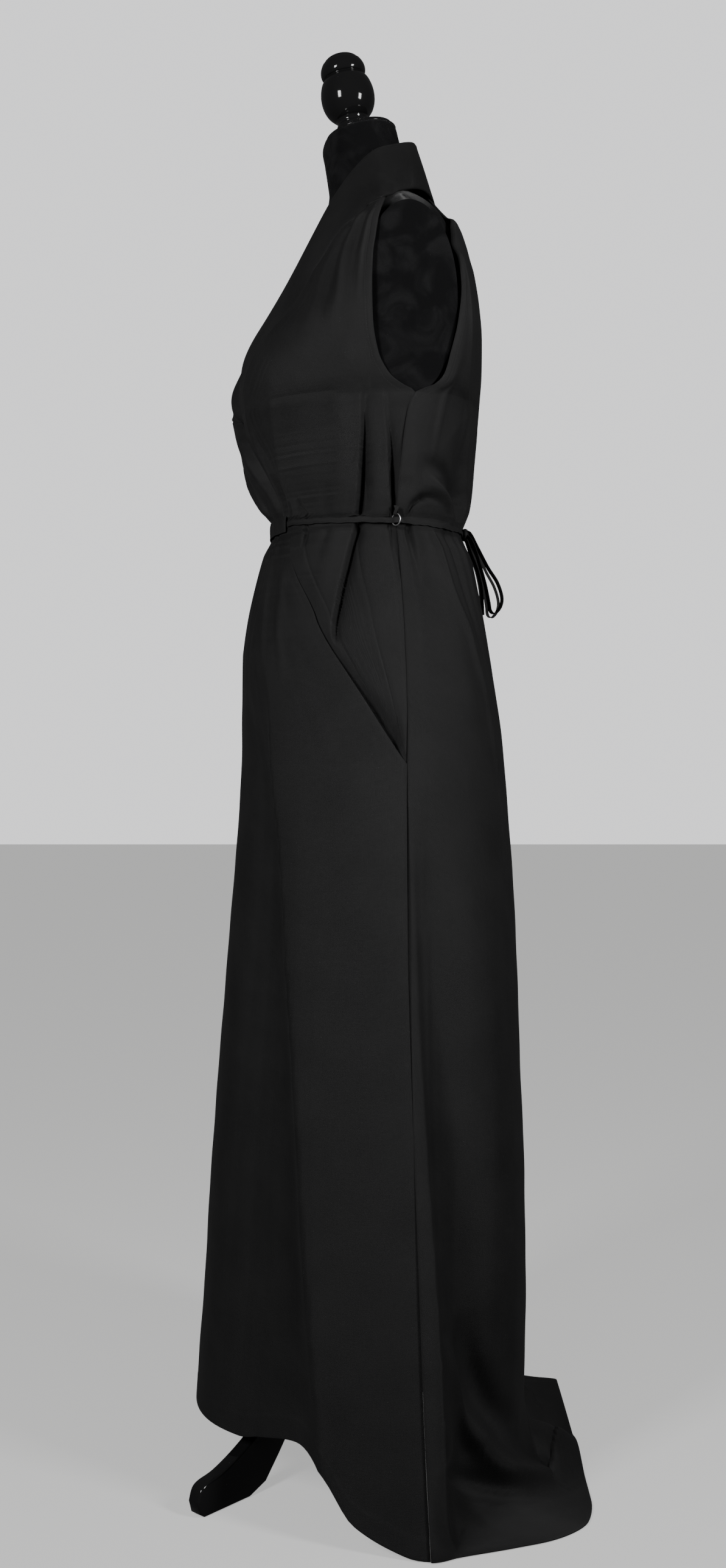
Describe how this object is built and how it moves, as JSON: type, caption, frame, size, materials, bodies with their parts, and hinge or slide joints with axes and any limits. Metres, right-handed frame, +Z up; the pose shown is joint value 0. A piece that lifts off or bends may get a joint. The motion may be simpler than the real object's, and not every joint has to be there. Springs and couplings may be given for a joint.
{
  "type": "maxi dress on dress form",
  "caption": "Sleeveless wrap maxi dress with shawl collar, tied belt, slanted pockets and trailing back hem, on a limbless dress form with a tripod stand.",
  "frame": {"origin": "on the floor, at the middle of the footprint of the dress and its stand", "axes": "+Z up; the dress's front faces -Y; +X is the wearer's left"},
  "size_m": [0.5996, 0.4719, 1.7331],
  "materials": {
    "cloth": "matte black woven crepe",
    "velvet": "black velvet",
    "lacquered_wood": "gloss black lacquer",
    "ring_metal": "bright silver"
  },
  "bodies": {
    "root": {"front_left": "cloth", "front_right": "cloth", "back": "cloth", "collar_left": "cloth", "collar_right": "cloth", "pocket_left": "cloth", "pocket_right": "cloth", "waist_tab": "cloth", "tie_left": "cloth", "tie_right": "cloth", "tie_knot": "cloth", "bow_loop_left": "cloth", "bow_loop_right": "cloth", "tie_end_left": "cloth", "tie_end_right": "cloth", "ring_tab_left": "cloth", "ring_tab_right": "cloth", "belt_ring_left": "ring_metal", "belt_ring_right": "ring_metal", "torso": "velvet", "arm_plate_left": "velvet", "arm_plate_right": "velvet", "finial": "lacquered_wood", "hub": "lacquered_wood", "pole": "lacquered_wood", "leg_front": "lacquered_wood", "leg_back": "lacquered_wood", "leg_side": "lacquered_wood"}
  },
  "joints": []
}
